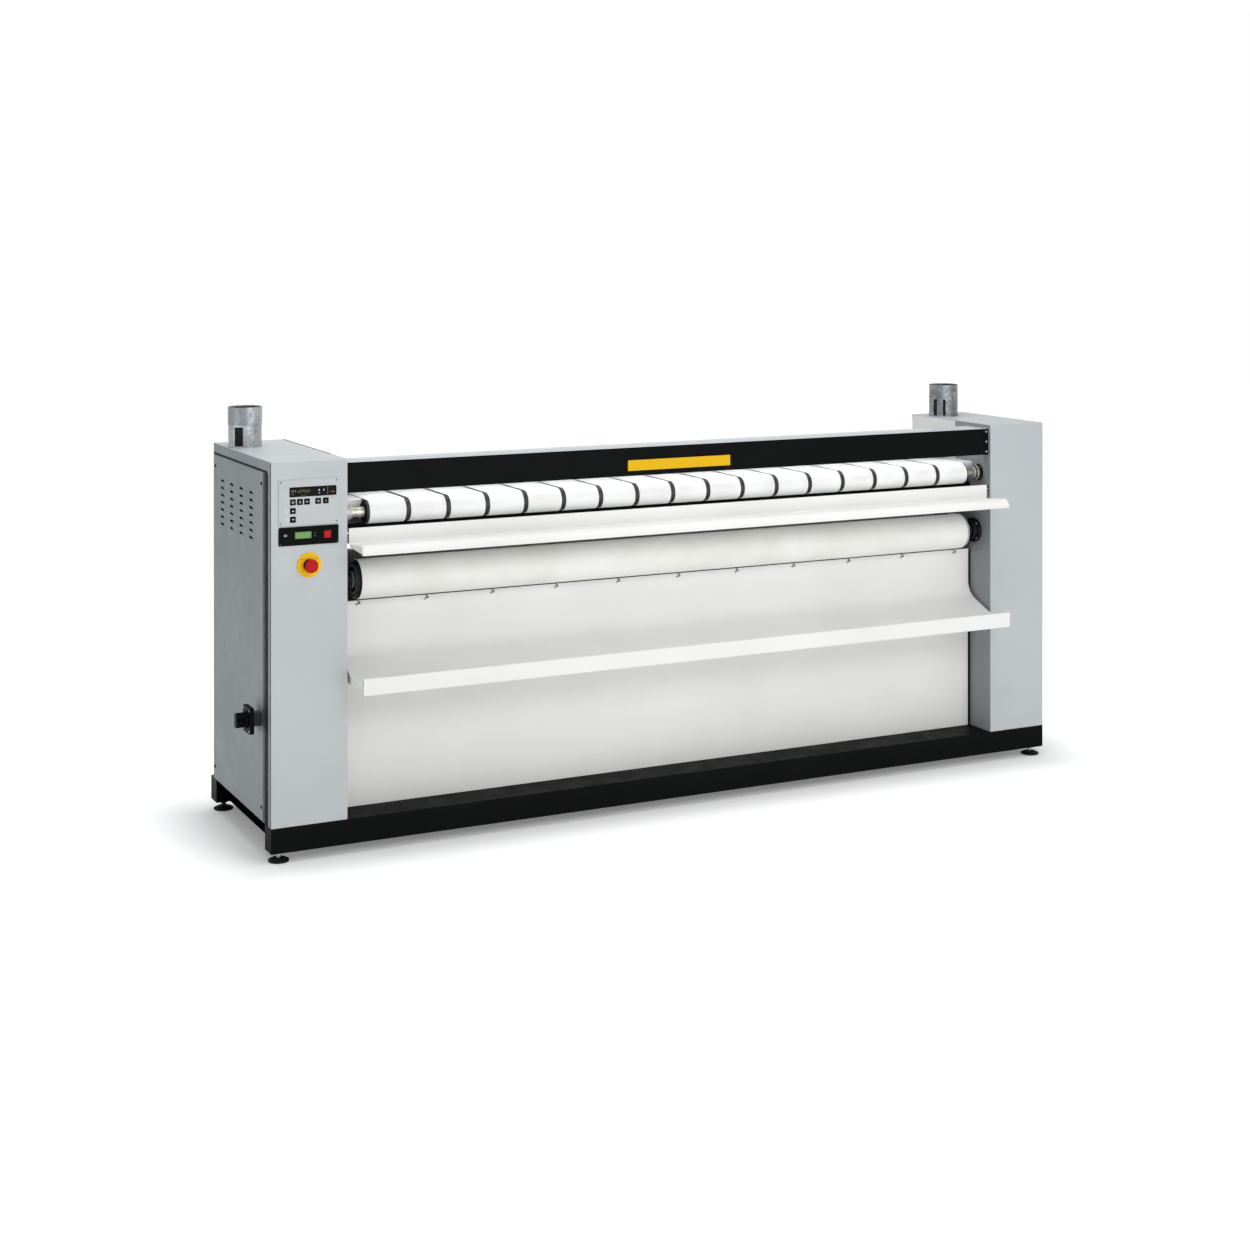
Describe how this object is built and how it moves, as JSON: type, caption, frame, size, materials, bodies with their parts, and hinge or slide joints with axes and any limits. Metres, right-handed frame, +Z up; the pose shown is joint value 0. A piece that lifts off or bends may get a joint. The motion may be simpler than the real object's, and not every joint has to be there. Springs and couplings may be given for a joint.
{
  "type": "flatwork ironer",
  "caption": "Flatwork ironer with feed belts, a heated cylinder and a belt-covered return roller between floor-standing end cabinets, with a feed shelf and a delivery tray in front.",
  "frame": {"origin": "middle of the footprint, on the floor", "axes": "+Z up, -Y towards the operator at the front, +X from the control cabinet along the rollers"},
  "size_m": [2.7724, 0.758, 1.2508],
  "materials": {
    "grey_paint": "satin grey powder coat",
    "side_paint": "darker grey powder coat",
    "wall_paint": "dark grey powder coat",
    "white_paint": "white powder coat",
    "black_paint": "black powder coat",
    "bearing_iron": "black painted",
    "roller_steel": "turned and ground",
    "cylinder_steel": "ground and polished by the linen",
    "belt_felt": "white needled felt belt",
    "belt_cloth": "off-white woven ironing belt",
    "galvanised": "galvanised, spangled",
    "seal_rubber": "matt black",
    "silver_foil": "silver front foil",
    "black_plastic": "black moulded",
    "lcd": "green display",
    "red_plastic": "red moulded",
    "yellow_plastic": "yellow moulded",
    "cast_housing": "grey painted casting"
  },
  "bodies": {
    "frame": {"front_beam": "black_paint", "rear_beam": "black_paint", "left_floor_pan": "black_paint", "right_floor_pan": "black_paint", "front_left_foot": "seal_rubber", "rear_left_foot": "seal_rubber", "front_right_foot": "seal_rubber", "rear_right_foot": "seal_rubber", "left_front_cover": "grey_paint", "left_inner_wall": "wall_paint", "left_side_frame": "side_paint", "left_side_seal": "seal_rubber", "left_side_panel": "side_paint", "left_rear_cover": "side_paint", "right_front_cover": "grey_paint", "right_inner_wall": "wall_paint", "right_liner": "white_paint", "right_side_cover": "side_paint", "left_exhaust_stack": "galvanised", "right_exhaust_stack": "galvanised", "fascia": "black_paint", "hood": "grey_paint", "rear_cover": "side_paint", "lower_front_panel": "white_paint", "feed_shelf": "white_paint", "delivery_tray": "white_paint", "clip_rail": "roller_steel", "control_plate": "silver_foil", "display_window": "black_plastic", "mode_plate": "black_plastic", "lcd_window": "lcd", "stop_collar": "yellow_plastic", "isolator_switch": "black_plastic", "feed_bearing_left": "bearing_iron", "feed_bearing_right": "bearing_iron", "exit_bearing_left": "bearing_iron", "exit_bearing_right": "bearing_iron", "feed_belts": "belt_felt", "ironing_belt": "belt_cloth", "gearmotor": "cast_housing", "drive_chain": "roller_steel", "burner_tube": "roller_steel"},
    "heated_cylinder": {"heated_cylinder": "cylinder_steel"},
    "feed_roller": {"feed_roller": "roller_steel"},
    "tail_roller": {"tail_roller": "roller_steel"},
    "exit_roller": {"exit_roller": "roller_steel"},
    "upper_rear_roller": {"upper_rear_roller": "roller_steel"},
    "lower_rear_roller": {"lower_rear_roller": "roller_steel"},
    "motor_sprocket": {"motor_sprocket": "roller_steel"},
    "key_1": {"key_1": "black_plastic"},
    "key_2": {"key_2": "black_plastic"},
    "key_3": {"key_3": "black_plastic"},
    "key_4": {"key_4": "black_plastic"},
    "key_5": {"key_5": "black_plastic"},
    "key_up": {"key_up": "black_plastic"},
    "key_down": {"key_down": "black_plastic"},
    "red_key": {"red_key": "red_plastic"},
    "stop_stem": {"stop_stem": "black_plastic"},
    "stop_head": {"stop_head": "red_plastic"},
    "isolator_knob": {"isolator_knob": "black_plastic"}
  },
  "joints": [
    {"name": "cylinder_spin", "type": "hinge", "parent": "frame", "child": "heated_cylinder", "pos_m": [0, 0.0456, 0.8476], "axis": [1, 0, 0], "continuous": true},
    {"name": "feed_spin", "type": "hinge", "parent": "frame", "child": "feed_roller", "pos_m": [0, -0.195, 0.967], "axis": [1, 0, 0], "continuous": true},
    {"name": "tail_spin", "type": "hinge", "parent": "frame", "child": "tail_roller", "pos_m": [0, -0.027, 0.98], "axis": [1, 0, 0], "continuous": true},
    {"name": "exit_spin", "type": "hinge", "parent": "frame", "child": "exit_roller", "pos_m": [0, -0.173, 0.769], "axis": [1, 0, 0], "continuous": true},
    {"name": "upper_rear_spin", "type": "hinge", "parent": "frame", "child": "upper_rear_roller", "pos_m": [0, 0.1552, 0.95861], "axis": [1, 0, 0], "continuous": true},
    {"name": "lower_rear_spin", "type": "hinge", "parent": "frame", "child": "lower_rear_roller", "pos_m": [0, 0.1582, 0.735], "axis": [1, 0, 0], "continuous": true},
    {"name": "motor_spin", "type": "hinge", "parent": "frame", "child": "motor_sprocket", "pos_m": [0, 0.0456, 0.5316], "axis": [1, 0, 0], "continuous": true},
    {"name": "key_1_press", "type": "slide", "parent": "frame", "child": "key_1", "axis": [0, 1, 0], "range_m": [0, 0.0008], "stiffness_N_per_m": 200, "springref_m": -0.0004},
    {"name": "key_2_press", "type": "slide", "parent": "frame", "child": "key_2", "axis": [0, 1, 0], "range_m": [0, 0.0008], "stiffness_N_per_m": 200, "springref_m": -0.0004},
    {"name": "key_3_press", "type": "slide", "parent": "frame", "child": "key_3", "axis": [0, 1, 0], "range_m": [0, 0.0008], "stiffness_N_per_m": 200, "springref_m": -0.0004},
    {"name": "key_4_press", "type": "slide", "parent": "frame", "child": "key_4", "axis": [0, 1, 0], "range_m": [0, 0.0008], "stiffness_N_per_m": 200, "springref_m": -0.0004},
    {"name": "key_5_press", "type": "slide", "parent": "frame", "child": "key_5", "axis": [0, 1, 0], "range_m": [0, 0.0008], "stiffness_N_per_m": 200, "springref_m": -0.0004},
    {"name": "key_up_press", "type": "slide", "parent": "frame", "child": "key_up", "axis": [0, 1, 0], "range_m": [0, 0.0008], "stiffness_N_per_m": 200, "springref_m": -0.0004},
    {"name": "key_down_press", "type": "slide", "parent": "frame", "child": "key_down", "axis": [0, 1, 0], "range_m": [0, 0.0008], "stiffness_N_per_m": 200, "springref_m": -0.0004},
    {"name": "red_key_press", "type": "slide", "parent": "frame", "child": "red_key", "axis": [0, 1, 0], "range_m": [0, 0.0008], "stiffness_N_per_m": 200, "springref_m": -0.0004},
    {"name": "stop_press", "type": "slide", "parent": "frame", "child": "stop_stem", "axis": [0, 1, 0], "range_m": [0, 0.004], "stiffness_N_per_m": 400, "springref_m": -0.002},
    {"name": "stop_twist", "type": "hinge", "parent": "stop_stem", "child": "stop_head", "pos_m": [-1.20385, -0.262, 0.836], "axis": [0, 1, 0], "range_deg": [0, 30]},
    {"name": "isolator_turn", "type": "hinge", "parent": "frame", "child": "isolator_knob", "pos_m": [-1.31385, -0.154, 0.391], "axis": [-1, 0, 0], "range_deg": [0, 90]}
  ],
  "couplings": [
    {"joint": "feed_spin", "follows": "cylinder_spin", "ratio": 3.5714},
    {"joint": "tail_spin", "follows": "cylinder_spin", "ratio": 5.6818},
    {"joint": "exit_spin", "follows": "cylinder_spin", "ratio": -2.1552},
    {"joint": "upper_rear_spin", "follows": "cylinder_spin", "ratio": -4.6296},
    {"joint": "lower_rear_spin", "follows": "cylinder_spin", "ratio": -5.2083},
    {"joint": "motor_spin", "follows": "cylinder_spin", "ratio": 2.6667}
  ]
}
